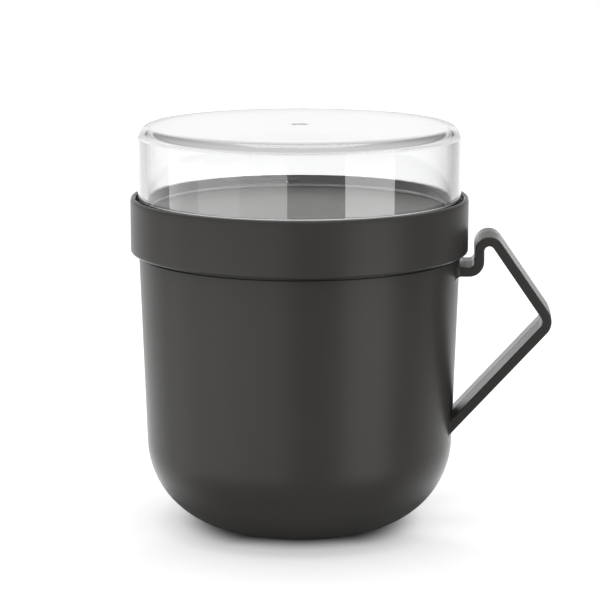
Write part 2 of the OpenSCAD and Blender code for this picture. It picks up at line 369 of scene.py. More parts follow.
def strapCorners():
    s = strapSizes
    legX = lidHigh[0] + s["legGap"] + s["thick"] / 2
    tabZ = shoulderZ - s["tabDrop"]
    slope = math.tan(math.radians(s["armSlope"]))
    turn = math.radians(90 + s["armSlope"])
    bend = s["humpBend"]
    humpZ = lidLow[2] + s["humpRise"] - s["thick"] / 2 - bend + bend * math.tan(turn / 2)
    outerX = mugHigh[0] - s["thick"] / 2 - s["crown"]
    # the elbow's corner lies where its round just reaches the frame's outermost point
    armFoot = Vector((sideR(s["footZ"]), s["footZ"]))
    low, high = outerX, outerX + s["elbowBend"]
    for _ in range(40):                  # halved until it fits
        cornerX = (low + high) / 2
        elbow = Vector((cornerX, humpZ - (cornerX - legX) * slope))
        u = (elbow - Vector((legX, humpZ))).normalized()
        v = (armFoot - elbow).normalized()
        turnHere = math.acos(max(-1, min(1, u.dot(v))))
        start = elbow - u * s["elbowBend"] * math.tan(turnHere / 2)
        centre = start + Vector((u.y, -u.x)) * s["elbowBend"]
        if centre.x + s["elbowBend"] > outerX:
            high = cornerX
        else:
            low = cornerX
    return Vector((legX, tabZ)), Vector((legX, humpZ)), elbow, armFoot


def strapStations():
    # stations (x, z, heading) from the tab's root round to the arm's foot
    s = strapSizes
    tab, hump, elbow, foot = strapCorners()
    root = Vector((sideR(tab.y), tab.y))
    bends = (0, s["tabBend"], s["humpBend"], s["elbowBend"], 0)
    stops = list(zip((root, tab, hump, elbow, foot), bends))
    stations = []
    for i, (p, radius) in enumerate(stops):
        if radius == 0:
            ahead = stops[1][0] - p if i == 0 else p - stops[i - 1][0]
            found = [(p, math.atan2(ahead.y, ahead.x))]
        else:
            a, b = stops[i - 1][0], stops[i + 1][0]
            h0 = math.atan2((p - a).y, (p - a).x)
            u, v = (p - a).normalized(), (b - p).normalized()
            turn = turnBetween(u, v)
            found = [(q, h0 + turn * t) for q, t in arcAround(a, p, b, radius, s["bendStep"])]
        for q, h in found:
            if stations:
                before, heading = stations[-1]
                gap = (q - before).length
                if gap > s["straightStep"] * 1.5:     # a long gap gets even steps
                    cuts = math.ceil(gap / s["straightStep"])
                    stations += [(before.lerp(q, k / cuts), heading) for k in range(1, cuts)]
            stations.append((q, h))
    return stations


def quarterTurn():
    steps = strapSizes["roundSteps"]
    return [math.pi / 2 * k / steps for k in range(steps + 1)]


def strapSection(extraThick, extraWide):
    # (through, across, wear) once round the strap: a soft roof on each face, with the seam
    # along its middle
    s = strapSizes
    halfT, halfW, c = s["thick"] / 2 + extraThick, s["width"] / 2 + extraWide, s["round"]
    seam = s["seamWidth"] / 2
    quarter = [(halfT + s["crown"] - s["seamDeep"], 0, 0.0)]
    for across in (seam, seam + s["seamFlank"], halfW / 2, halfW - c - s["edgeColumn"]):
        quarter.append((halfT + s["crown"] * (1 - across / (halfW - c)), across, 0.0))
    for a in quarterTurn():
        through, across = halfT - c + c * math.cos(a), halfW - c + c * math.sin(a)
        quarter.append((through, across, math.sin(2 * a)))
    mirrored = [(-t, w, e) for t, w, e in reversed(quarter)]
    half = quarter + mirrored
    return half + [(-t, -w, e) for t, w, e in half[1:-1]]


def onWall(x, y, z, dx, dz, depth):
    # slides a point along the path until it lies the given depth outside the mug's wall
    for _ in range(25):                  # it settles well before the last round
        gap = math.hypot(x, y) - sideR(z)
        slip = dx * x / math.hypot(x, y) - dz * leanSlope
        x, z = x - dx * gap / slip, z - dz * gap / slip
    return x + dx * depth, y, z + dz * depth


def strapRing(at, heading, thicker=0.0, wider=0.0, wallDepth=None, away=None):
    ring = []
    for through, across, _ in strapSection(thicker, wider):
        x, z = at.x - math.sin(heading) * through, at.y + math.cos(heading) * through
        y = across
        if wallDepth is not None:
            x, y, z = onWall(x, y, z, away.x, away.y, wallDepth)
        ring.append((x * mm, y * mm, z * mm))
    return ring


def filletRings(at, heading, away, radius):
    # rings from inside the wall out along a quarter circle, which ends flush with the strap
    rings = [strapRing(at, heading, radius, radius, -strapSizes["rootDeep"], away)]
    for a in quarterTurn():
        extra, depth = radius * (1 - math.sin(a)), radius * (1 - math.cos(a))
        rings.append(strapRing(at, heading, extra, extra, depth, away))
    return rings


def makeStrap():
    s = strapSizes
    stations = strapStations()
    first, last = stations[0], stations[-1]
    awayFirst = Vector((math.cos(first[1]), math.sin(first[1])))
    awayLast = -Vector((math.cos(last[1]), math.sin(last[1])))
    plain = [
        strapRing(q, h) for q, h in stations
        if (q - first[0]).length > s["rootClear"] and (q - last[0]).length > s["footClear"]
    ]
    start = filletRings(first[0], first[1], awayFirst, s["fillet"])
    end = filletRings(last[0], last[1], awayLast, s["footFillet"])
    wearRing = [s["wear"] * e for _, _, e in strapSection(0, 0)]
    return lofted("strap", start + plain + end[::-1], wearRing)


mugBody = fuse(makeMugShell(), makeStrap())
print("mug body and handle:", len(mugBody.data.polygons), "faces")


# Gasket under the lid

gasketSizes = {"width": 2.65, "round": 0.45, "columns": 240}


def makeRing(name, sizes, low, high):
    # a flat ring that fills its box in the frame, with rounded edges
    outer = high[0]
    inner = outer - sizes["width"]
    places = ((inner, low[2]), (outer, low[2]), (outer, high[2]), (inner, high[2]))
    corners = [corner(r, z, bend=sizes["round"], step=0.6) for r, z in places]
    rows = outline(corners, arcStep=15, closed=True)
    return turned(name, rows, evenAngles(sizes["columns"]), closed=True)


lidGasket = makeRing("lidGasket", gasketSizes, gasketLow, gasketHigh)
print("gasket:", len(lidGasket.data.polygons), "faces")


# Screw lid: collar, recessed floor, plug ring, thread and lips

lidSizes = {
    "collarWall": 2.3,
    "rimWall": 1.7,
    "recess": 4.3,       # depth from the rim to the floor that shows
    "floor": 2.0,
    "round": 0.8,
    "rimInRound": 0.64,
    "plugDrop": 3.8,     # the ring that plugs into the mouth
    "plugWall": 1.5,
    "plugBend": 0.5,
    "plugRootBend": 0.4,
    "groove": 0.5,       # holds the gasket
    "grooveRoom": 0.05,
    "grooveBend": 0.15,
    "innerBend": 0.3,
    "threadStart": 0.4,  # over the shoulder
    "columns": 288,
}
collarR, collarZ = lidHigh[0], lidLow[2]
collarInR = collarR - lidSizes["collarWall"]
rimZ = lidHigh[2]
floorZ = rimZ - lidSizes["recess"]
underZ = floorZ - lidSizes["floor"]
recessR = collarR - lidSizes["rimWall"]
footR = recessR - lock["lugOut"] - lock["gap"]
cove = lidSizes["rimWall"] / 3
lipZ = rimZ - cove - lock["lipTall"] / 2 - thread["lead"] * lock["lipArc"] / 360


def makeLid():
    s = lidSizes
    plugR = neckInR - thread["tall"]
    plugIn, plugLow = plugR - s["plugWall"], underZ - s["plugDrop"]
    grooveR, grooveZ = neckR + s["grooveRoom"], underZ + s["groove"]
    rows = outline([
        corner(0, underZ),
        corner(plugIn, underZ, bend=s["plugRootBend"]),
        corner(plugIn, plugLow, bend=s["plugBend"]),
        corner(plugR, plugLow, bend=s["plugBend"], step=0.4),
        corner(plugR, grooveZ, bend=s["grooveBend"], step=0.5),
        corner(grooveR, grooveZ, bend=s["grooveBend"], step=0.5),
        corner(grooveR, underZ, bend=s["grooveBend"], step=0.4),
        corner(collarInR, underZ, bend=s["innerBend"], step=0.4),
        corner(collarInR, collarZ, bend=s["round"], step=thread["rowStep"]),
        corner(collarR, collarZ, bend=s["round"], wear=0.6, step=0.4),
        corner(collarR, rimZ, bend=s["round"], wear=1.0, step=1.5),
        corner(recessR, rimZ, bend=s["rimInRound"], wear=1.0, step=0.4),
        corner(recessR, floorZ, bend=cove, step=0.1),
        corner(0, floorZ, step=2),
    ], arcStep=10)
    # the lid's ridges take their turn from the mug's, so that they lie just under them
    ridgeZ = shoulderZ + s["threadStart"] + thread["root"] / 2
    drop = ridgeZ + thread["root"] + thread["play"] - mugThread()["z"]
    inside = {**thread, "z": ridgeZ, "turn": thread["turn"] + 360 * drop / thread["lead"]}
    lips = {
        "count": lock["lugs"], "turn": lock["turn"], "arc": lock["lipArc"], "fade": lock["fade"],
        "root": lock["lipTall"] + lock["lipFlank"], "crest": lock["lipTall"],
        "lead": thread["lead"], "z": lipZ,
    }

    def push(r, z, a):
        if abs(r - collarInR * mm) < hair:
            return -helixPush(z, a, inside) * thread["tall"] * mm, 0
        if abs(r - recessR * mm) < hair:
            return -helixPush(z, a, lips) * lock["lugOut"] * mm, 0
        return 0, 0

    return turned("screwLid", rows, evenAngles(s["columns"]), push=push)


screwLid = makeLid()
print("lid:", len(screwLid.data.polygons), "faces")


# Flat seal under the clear cap

sealSizes = {"width": 2.75, "round": 0.25, "columns": 240}

capSeal = makeRing("capSeal", sealSizes, sealLow, sealHigh)
print("seal:", len(capSeal.data.polygons), "faces")


# Clear cap with its lugs and click ribs

capSizes = {
    "wall": 3.2,
    "top": 3.2,
    "round": 3.4,
    "innerRound": 1.0,
    "dimpleR": 2.6,                    # the mould's mark in the middle of the top
    "dimpleDeep": 0.3,
    "dimpleSlope": 0.15,
    "dimpleBend": 0.12,
    "stepRound": 0.25,                 # where the foot steps in under the rim
    "stepInBend": 0.12,
    "footBend": 0.3,
    "rowStep": 0.09,                   # mesh rows this close draw the lugs
    "lugColumn": 0.5,                  # a column this many degrees in from a lug's start
    "ribColumns": (-1, -0.6, 0.6, 1),  # across a rib, in half widths
    "columns": 288,
}
capR = -capLow[0]
capInR = capR - capSizes["wall"]
lugTurn = lock["turn"] + (lock["lipArc"] - lock["lugArc"]) / 2
halfRib = math.degrees(lock["ribHalf"] / footR)


def capAngles():
    # extra columns at the ends of the lugs and on both flanks of each click rib
    extra = []
    for k in range(lock["lugs"]):
        at = lugTurn + 360 * k / lock["lugs"]
        end = at + lock["lugArc"]
        extra += [at, at + capSizes["lugColumn"], at + lock["fade"], end - lock["fade"], end]
        for rib in lock["ribs"]:
            extra += [at - rib + halfRib * share for share in capSizes["ribColumns"]]
    return evenAngles(capSizes["columns"], extra)


def makeCap():
    s = capSizes
    topZ, footZ = capHigh[2], capLow[2]
    dimpleIn, dimpleZ = s["dimpleR"] - s["dimpleSlope"], topZ - s["dimpleDeep"]
    rows = outline([
        corner(0, topZ - s["top"]),
        corner(capInR, topZ - s["top"], bend=s["innerRound"]),
        corner(capInR, footZ, bend=s["footBend"], step=1.0),
        corner(footR, footZ, bend=s["footBend"], step=0.5),
        corner(footR, rimZ, bend=s["stepInBend"], step=s["rowStep"]),
        corner(capR, rimZ, bend=s["stepRound"], step=0.3),
        corner(capR, topZ, bend=s["round"], step=1.0),
        corner(s["dimpleR"], topZ, bend=s["dimpleBend"]),
        corner(dimpleIn, dimpleZ, bend=s["dimpleBend"], step=0.2),
        corner(0, dimpleZ, step=1.0),
    ], arcStep=6)
    # each lug rests just under its lip
    lugZ = (lipZ + thread["lead"] * (lugTurn - lock["turn"]) / 360
            - lock["lipTall"] / 2 - lock["gap"] / 2 - lock["lugTall"] / 2)
    lugs = {
        "count": lock["lugs"], "turn": lugTurn, "arc": lock["lugArc"], "fade": lock["lugFade"],
        "root": lock["lugTall"] + lock["lugFlank"], "crest": lock["lugTall"] - lock["lugEase"],
        "lead": thread["lead"], "z": lugZ,
    }

    def push(r, z, a):
        if abs(r - footR * mm) > hair:
            return 0, 0
        out = helixPush(z, a, lugs) * lock["lugOut"]
        for k in range(lock["lugs"]):
            for rib in lock["ribs"]:
                at = lugTurn + 360 * k / lock["lugs"] - rib
                away = abs((a - at + 180) % 360 - 180)
                top = lugZ + lock["lugTall"] / 2 - thread["lead"] * rib / 360
                if away < halfRib * 0.99 and z < top * mm:     # the rib's inner columns only
                    out = max(out, lock["lugOut"] / 2)
        return out * mm, 0

    return turned("clearCap", rows, capAngles(), push=push)


clearCap = makeCap()
print("cap:", len(clearCap.data.polygons), "faces")


# Shader node helpers

def newNode(tree, kind, **values):
    # a node with its settings and the plain values of its sockets
    made = tree.nodes.new(kind)
    for key, value in values.items():
        if key in made.inputs:
            made.inputs[key].default_value = value
        else:
            setattr(made, key, value)
    return made


def feed(tree, socket, value):
    # a plain value, or a link from another node
    if isinstance(value, bpy.types.NodeSocket):
        tree.links.new(value, socket)
    else:
        socket.default_value = value


def arithmetic(tree, operation, a, b, clamp=False):
    made = newNode(tree, "ShaderNodeMath", operation=operation, use_clamp=clamp)
    feed(tree, made.inputs[0], a)
    feed(tree, made.inputs[1], b)
    return made.outputs[0]


def vectorMath(tree, operation, first, second=None):
    made = newNode(tree, "ShaderNodeVectorMath", operation=operation)
    tree.links.new(first, made.inputs[0])
    if second:
        made.inputs[1].default_value = second
    return made


def spreadValue(tree, value, span, first, last):
    # a smooth step from one level to another while the value crosses the span
    made = newNode(tree, "ShaderNodeMapRange", interpolation_type="SMOOTHSTEP")
    for key, number in zip(("From Min", "From Max", "To Min", "To Max"), (*span, first, last)):
        made.inputs[key].default_value = number
    tree.links.new(value, made.inputs["Value"])
    return made.outputs[0]


def mixValues(tree, factor, first, second):
    made = newNode(tree, "ShaderNodeMix", data_type="FLOAT")
    tree.links.new(factor, made.inputs["Factor"])
    feed(tree, made.inputs["A"], first)
    feed(tree, made.inputs["B"], second)
    return made.outputs[0]


def opaque(colour):
    return (*colour, 1.0)


def blendColours(tree, mask, first, second):
    made = newNode(tree, "ShaderNodeMix", data_type="RGBA")
    tree.links.new(mask, made.inputs["Factor"])
    for index, value in ((6, first), (7, second)):     # the node's two colour sockets
        feed(tree, made.inputs[index], opaque(value) if isinstance(value, tuple) else value)
    return made.outputs[2]


def mixShaders(tree, mask, first, second):
    made = newNode(tree, "ShaderNodeMixShader")
    for index, value in enumerate((mask, first, second)):
        tree.links.new(value, made.inputs[index])
    return made.outputs[0]


def bumpFrom(tree, height, strength, distance):
    made = newNode(tree, "ShaderNodeBump", Strength=strength, Distance=distance)
    tree.links.new(height, made.inputs["Height"])
    return made.outputs[0]


# Surface effects, as node groups

grainShape = {
    "detail": 3.0,
    "roughness": 0.65,
    "pitScale": 0.55,   # share of the grain's own scale
    "pitShare": 0.5,
    "patchDetail": 2.0,
    "patchRoughness": 0.5,
}
wearShape = {
    "detail": 4.0,
    "least": 0.25,      # rubbed even where the noise is lowest
}
hazeShape = {
    "detail": 5.0,
    "roughness": 0.6,
    "swirl": 0.6,
    "stretch": (1.0, 1.0, 2.6),
    "thin": 0.45,       # haze begins at this level of the noise
    "thick": 0.8,       # and is full at this one
}


def newGroup(name, inputs, outputs):
    # an empty group with plain value sockets, and its two ends
    tree = bpy.data.node_groups.new(name, "ShaderNodeTree")
    for direction, names in (("INPUT", inputs), ("OUTPUT", outputs)):
        for each in names:
            tree.interface.new_socket(name=each, in_out=direction, socket_type="NodeSocketFloat")
    return tree, newNode(tree, "NodeGroupInput").outputs, newNode(tree, "NodeGroupOutput").inputs


def makeGrainGroup():
    # the fine spark-eroded texture of a mould, and slow patches where it polished more
    s = grainShape
    tree, given, wanted = newGroup(
        "mouldGrain", ("Grain Scale", "Patch Scale"), ("Height", "Patches"))
    place = newNode(tree, "ShaderNodeTexCoord")
    fine = newNode(tree, "ShaderNodeTexNoise", Detail=s["detail"], Roughness=s["roughness"])
    pits = newNode(tree, "ShaderNodeTexVoronoi")
    slow = newNode(tree, "ShaderNodeTexNoise",
                   Detail=s["patchDetail"], Roughness=s["patchRoughness"])
    pitScale = arithmetic(tree, "MULTIPLY", given["Grain Scale"], s["pitScale"])
    scales = given["Grain Scale"], pitScale, given["Patch Scale"]
    for texture, scale in zip((fine, pits, slow), scales):
        tree.links.new(place.outputs["Object"], texture.inputs["Vector"])
        tree.links.new(scale, texture.inputs["Scale"])
    pitHeight = arithmetic(tree, "MULTIPLY", pits.outputs["Distance"], s["pitShare"])
    tree.links.new(arithmetic(tree, "ADD", fine.outputs[0], pitHeight), wanted["Height"])
    tree.links.new(slow.outputs[0], wanted["Patches"])
    return tree


def makeWearGroup():
    # where hands and the sink rub: rounded edges, broken up by noise
    s = wearShape
    tree, given, wanted = newGroup("rubbedEdges", ("Amount", "Break Scale"), ("Mask",))
    edges = newNode(tree, "ShaderNodeAttribute", attribute_name="edgeWear")
    place = newNode(tree, "ShaderNodeTexCoord")
    noise = newNode(tree, "ShaderNodeTexNoise", Detail=s["detail"])
    tree.links.new(place.outputs["Object"], noise.inputs["Vector"])
    tree.links.new(given["Break Scale"], noise.inputs["Scale"])
    breaks = arithmetic(tree, "ADD", noise.outputs[0], s["least"])
    broken = arithmetic(tree, "MULTIPLY", edges.outputs["Fac"], breaks)
    mask = arithmetic(tree, "MULTIPLY", broken, given["Amount"], clamp=True)
    tree.links.new(mask, wanted["Mask"])
    return tree


def makeHazeGroup():
    # faint wiped haze left by washing and handling
    s = hazeShape
    tree, given, wanted = newGroup("wipedHaze", ("Scale", "Amount"), ("Mask", "Height"))
    place = newNode(tree, "ShaderNodeTexCoord")
    stretch = newNode(tree, "ShaderNodeMapping", Scale=s["stretch"])
    cloud = newNode(tree, "ShaderNodeTexNoise",
                    Detail=s["detail"], Roughness=s["roughness"], Distortion=s["swirl"])
    tree.links.new(place.outputs["Object"], stretch.inputs["Vector"])
    tree.links.new(stretch.outputs[0], cloud.inputs["Vector"])
    tree.links.new(given["Scale"], cloud.inputs["Scale"])
    haze = newNode(tree, "ShaderNodeMapRange")
    haze.inputs["From Min"].default_value = s["thin"]
    haze.inputs["From Max"].default_value = s["thick"]
    tree.links.new(cloud.outputs[0], haze.inputs["Value"])
    tree.links.new(arithmetic(tree, "MULTIPLY", haze.outputs[0], given["Amount"]), wanted["Mask"])
    tree.links.new(cloud.outputs[0], wanted["Height"])
    return tree


grainGroup, wearGroup, hazeGroup = makeGrainGroup(), makeWearGroup(), makeHazeGroup()


# Materials

guidedDepth = 2.5        # light that bounced inside a clear wall more often than this is late

plasticLook = {
    "colour": (0.052, 0.050, 0.0475),
    "paler": (0.058, 0.056, 0.053),
    "rubbed": (0.07, 0.068, 0.065),
    "roughness": 0.3,
    "roughnessPatch": 0.06,
    "rubbedSmoother": 0.12,
    "specular": 0.06,
    "grainScale": 2400.0,
    "patchScale": 38.0,
    "grainStrength": 0.06,
    "grainDeep": 0.00004,
    "wearAmount": 0.55,
    "wearBreak": 420.0,
}
clearLook = {
    "colour": (0.99, 0.993, 0.993),
    "guided": (0.9, 0.9, 0.9),
    "ior": 1.53,
    "roughness": 0.004,
    "hazeScale": 24.0,
    "hazeAmount": 1.0,
    "hazeRoughness": 0.02,
    "rippleStrength": 0.03,
    "rippleDeep": 0.0002,
}
rubberLook = {
    "grainScale": 1800.0,
    "patchScale": 60.0,
    "grainStrength": 0.2,
    "grainDeep": 0.00003,
    "hazeScale": 90.0,
    "hazeAmount": 0.5,
    "hazeRoughness": 0.15,
    "glowRadius": (1.0, 1.0, 1.0),
    "glowDeep": 0.0015,
}
gasketLook = {
    "colour": (0.12, 0.118, 0.114),
    "paler": (0.16, 0.157, 0.152),
    "roughness": 0.55,
    "translucent": 0.0,
}
sealLook = {
    "colour": (0.09, 0.09, 0.088),
    "paler": (0.12, 0.12, 0.117),
    "roughness": 0.5,
    "translucent": 0.3,
}


def startMaterial(name):
    material = bpy.data.materials.new(name)
    material.use_nodes = True
    tree = material.node_tree
    tree.nodes.clear()
    shader = newNode(tree, "ShaderNodeBsdfPrincipled")
    return material, tree, shader, newNode(tree, "ShaderNodeOutputMaterial")


def placeGroup(tree, group, *values):
    # the values go to the group's inputs in their order
    made = newNode(tree, "ShaderNodeGroup", node_tree=group)
    for socket, value in zip(made.inputs, values):
        socket.default_value = value
    return made.outputs


def makeDarkPlastic():
    look = plasticLook
    material, tree, shader, out = startMaterial("darkPlastic")
    grain = placeGroup(tree, grainGroup, look["grainScale"], look["patchScale"])
    rubbed = placeGroup(tree, wearGroup, look["wearAmount"], look["wearBreak"])["Mask"]
    patches = blendColours(tree, grain["Patches"], look["colour"], look["paler"])
    colour = blendColours(tree, rubbed, patches, look["rubbed"])
    tree.links.new(colour, shader.inputs["Base Color"])
    rough = arithmetic(tree, "MULTIPLY", grain["Patches"], look["roughnessPatch"])
    rough = arithmetic(tree, "ADD", rough, look["roughness"])
    smoother = arithmetic(tree, "MULTIPLY", rubbed, look["rubbedSmoother"])
    tree.links.new(arithmetic(tree, "SUBTRACT", rough, smoother), shader.inputs["Roughness"])
    normal = bumpFrom(tree, grain["Height"], look["grainStrength"], look["grainDeep"])
    tree.links.new(normal, shader.inputs["Normal"])
    shader.inputs["Specular IOR Level"].default_value = look["specular"]
    tree.links.new(shader.outputs[0], out.inputs["Surface"])
    return material


def makeClearPlastic():
    look = clearLook
    material, tree, shader, out = startMaterial("clearPlastic")
    haze = placeGroup(tree, hazeGroup, look["hazeScale"], look["hazeAmount"])
    shader.inputs["Base Color"].default_value = opaque(look["colour"])
    shader.inputs["Transmission Weight"].default_value = 1.0
    shader.inputs["IOR"].default_value = look["ior"]
    rough = arithmetic(tree, "MULTIPLY", haze["Mask"], look["hazeRoughness"])
    tree.links.new(arithmetic(tree, "ADD", rough, look["roughness"]), shader.inputs["Roughness"])
    normal = bumpFrom(tree, haze["Height"], look["rippleStrength"], look["rippleDeep"])
    tree.links.new(normal, shader.inputs["Normal"])
    # light that has run along inside the wall leaves it a little dimmer
    path = newNode(tree, "ShaderNodeLightPath").outputs
    leave = newNode(tree, "ShaderNodeBsdfTransparent", Color=opaque(look["guided"]))
    late = arithmetic(tree, "GREATER_THAN", path["Glossy Depth"], guidedDepth)
    seen = mixShaders(tree, late, shader.outputs[0], leave.outputs[0])
    # lamps light what is behind the cap, and everything else sees the real surface
    through = newNode(tree, "ShaderNodeBsdfTransparent")
    surface = mixShaders(tree, path["Is Shadow Ray"], seen, through.outputs[0])
    tree.links.new(surface, out.inputs["Surface"])
    return material


def makeRubber(name, own):
    look = {**rubberLook, **own}
    material, tree, shader, out = startMaterial(name)
    grain = placeGroup(tree, grainGroup, look["grainScale"], look["patchScale"])
    haze = placeGroup(tree, hazeGroup, look["hazeScale"], look["hazeAmount"])
    colour = blendColours(tree, grain["Patches"], look["colour"], look["paler"])
    tree.links.new(colour, shader.inputs["Base Color"])
    rough = arithmetic(tree, "MULTIPLY", haze["Mask"], look["hazeRoughness"])
    tree.links.new(arithmetic(tree, "ADD", rough, look["roughness"]), shader.inputs["Roughness"])
    normal = bumpFrom(tree, grain["Height"], look["grainStrength"], look["grainDeep"])
    tree.links.new(normal, shader.inputs["Normal"])
    if look["translucent"]:
        shader.inputs["Subsurface Weight"].default_value = look["translucent"]
        shader.inputs["Subsurface Radius"].default_value = look["glowRadius"]
        shader.inputs["Subsurface Scale"].default_value = look["glowDeep"]
    tree.links.new(shader.outputs[0], out.inputs["Surface"])
    return material


darkPlastic = makeDarkPlastic()
clearPlastic = makeClearPlastic()
gasketRubber = makeRubber("gasketRubber", gasketLook)
sealRubber = makeRubber("sealRubber", sealLook)


def settle(piece, material, body, node):
    piece.data.materials.clear()
    piece.data.materials.append(material)
    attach(piece, body)
    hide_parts(node)


settle(mugBody, darkPlastic, "mug", "mug_body")
settle(lidGasket, gasketRubber, "lid_ring", "lid_gasket")
settle(screwLid, darkPlastic, "lid", "screw_lid")
settle(capSeal, sealRubber, "cap_ring", "cap_seal")
settle(clearCap, clearPlastic, "cap", "clear_cap")
print("materials placed")


# Studio: pale floor with a painted pool of light round the mug, white surround, soft panels.
# A span says how nearly a ray or a point has to lie in some direction, or how high, from the start
# of a change to its end.

viewTurn = 3.41          # the viewer and the panels stand this far round, in degrees


def toward(degrees):
    # a level direction, counted from the viewer's
    turn = math.radians(viewTurn + degrees)
    return math.sin(turn), -math.cos(turn), 0


floorLook = {
    "halfSize": 6.0,
    "drop": 0.00005,               # just under the mug's foot
    "colour": 0.72,
    "roughness": 0.9,
    "specular": 0.1,
    "glow": 0.5,                   # painted light on the table, seen only by the camera, that lifts it to white
    "paintedLightRadii": (0.028, 0.044),   # it grows between these two radii, so the real shadow shows only near the foot
    "paintedLightInFront": 0.4,              # less of it in front of the mug, a painted shade there
    "frontSpan": (0.3, 0.8),
    "paintedLightLeadInFront": 0.004,            # and it starts this much sooner right in front, lightening the shadow there
    "leadSpan": (0.75, 1.0),
    "paintedLightOverHandleShadow": 0.1,             # more of it under the handle, a painted light over the handle's cast shadow
    "handleSpan": (0.85, 0.99),
    "paintedLightThroughCap": 0.44,           # painted light on the table, as seen through the cap
    "throughNear": (0.3, 0.7),
    "throughFar": (0.89, 0.985),
    "mirrorRadii": (0.045, 0.07),  # the table mirrors itself in the mug up to about here
}


def makeFloor():
    s = floorLook
    half = s["halfSize"]
    mesh = bpy.data.meshes.new("floor")
    places = [(-half, -half, 0), (half, -half, 0), (half, half, 0), (-half, half, 0)]
    mesh.from_pydata(places, [], [(0, 1, 2, 3)])
    floor = bpy.data.objects.new("floor", mesh)
    bpy.context.scene.collection.objects.link(floor)
    floor.location.z = -s["drop"]
    material, tree, shader, out = startMaterial("studioFloor")
    shader.inputs["Roughness"].default_value = s["roughness"]
    shader.inputs["Specular IOR Level"].default_value = s["specular"]
    shader.inputs["Base Color"].default_value = opaque([s["colour"]] * 3)
    path = newNode(tree, "ShaderNodeLightPath").outputs
    place = newNode(tree, "ShaderNodeTexCoord").outputs["Object"]
    away = vectorMath(tree, "LENGTH", place).outputs["Value"]
    aside = vectorMath(tree, "NORMALIZE", place).outputs[0]

    def lies(direction, span, first, last):
        # steps between two levels by how nearly a point of the table lies in this direction
        nearly = vectorMath(tree, "DOT_PRODUCT", aside, direction).outputs["Value"]
        return spreadValue(tree, nearly, span, first, last)

    # painted light for camera rays: a pool growing out from the mug's foot, dimmer in front,
    # brighter over the handle's shadow
    glow = arithmetic(
        tree, "ADD", lies(toward(0), s["frontSpan"], s["glow"], s["paintedLightInFront"]),
        lies((1, 0, 0), s["handleSpan"], 0.0, s["paintedLightOverHandleShadow"]))
    reach = arithmetic(tree, "ADD", away, lies(toward(0), s["leadSpan"], 0.0, s["paintedLightLeadInFront"]))
    spread = arithmetic(tree, "MULTIPLY", glow, spreadValue(tree, reach, s["paintedLightRadii"], 0.0, 1.0))
    # painted light and shade on the table for rays through the cap: through its side walls the
    # table far behind looks greyer
    through = arithmetic(
        tree, "MAXIMUM", lies(toward(180), s["throughFar"], 0.0, s["paintedLightThroughCap"]),
        lies(toward(180), s["throughNear"], s["paintedLightThroughCap"], 0.0))
    seen = arithmetic(
        tree, "ADD", arithmetic(tree, "MULTIPLY", path["Is Camera Ray"], spread),
        arithmetic(tree, "MULTIPLY", path["Is Transmission Ray"], through))
    shader.inputs["Emission Color"].default_value = (1, 1, 1, 1)
    tree.links.new(seen, shader.inputs["Emission Strength"])
    # mirrored in the plastic, the table is there only close to the mug, and it stops no light
    beyond = spreadValue(tree, away, s["mirrorRadii"], 0.0, 1.0)
    direct = arithmetic(tree, "SUBTRACT", 1.0, path["Is Transmission Ray"])
    clear = arithmetic(tree, "MULTIPLY", beyond, path["Is Glossy Ray"])
    clear = arithmetic(tree, "MULTIPLY", clear, direct)
    clear = arithmetic(tree, "MAXIMUM", clear, path["Is Shadow Ray"])
    gone = newNode(tree, "ShaderNodeBsdfTransparent")
    surface = mixShaders(tree, clear, shader.outputs[0], gone.outputs[0])
    tree.links.new(surface, out.inputs["Surface"])
    mesh.materials.append(material)


surroundLook = {
    "fill": 0.7,         # light on the object from all round
    "front": 0.15,       # the dark room behind the viewer, as satin plastic mirrors it
    "back": 1.75,        # the bright wall at the back and left
    "backTurn": -160,
    "backSpan": (0.2, 0.85),
    "above": 0.55,       # share of that light above the horizon
    "aboveSpan": (-0.3, 0.1),
    "table": 2.6,        # the lit table to both sides and behind
    "tableSpan": (-0.3, 0.5),
    "tableEdge": (-0.3, -0.15),
    "under": 0.15,       # share from straight below
    "underSpan": (-0.9, -0.6),
    "horizon": 3.0,      # the brightest strip of wall, straight behind
    "horizonSpan": (0.9, 0.97),
    "horizonLow": (-0.14, -0.05),
    "horizonHigh": (0.04, 0.12),
    "sideThrough": 0.8,  # white level off to the sides, seen through the cap
    "throughSpan": (0.6, 0.9),
    "guidedBack": 0.7,   # what light that ran inside the cap's wall shows of the back
    "guidedSide": 0.18,
    "guidedSpan": (0.75, 0.98),
    "guidedLevel": (0.98, 0.998),
}


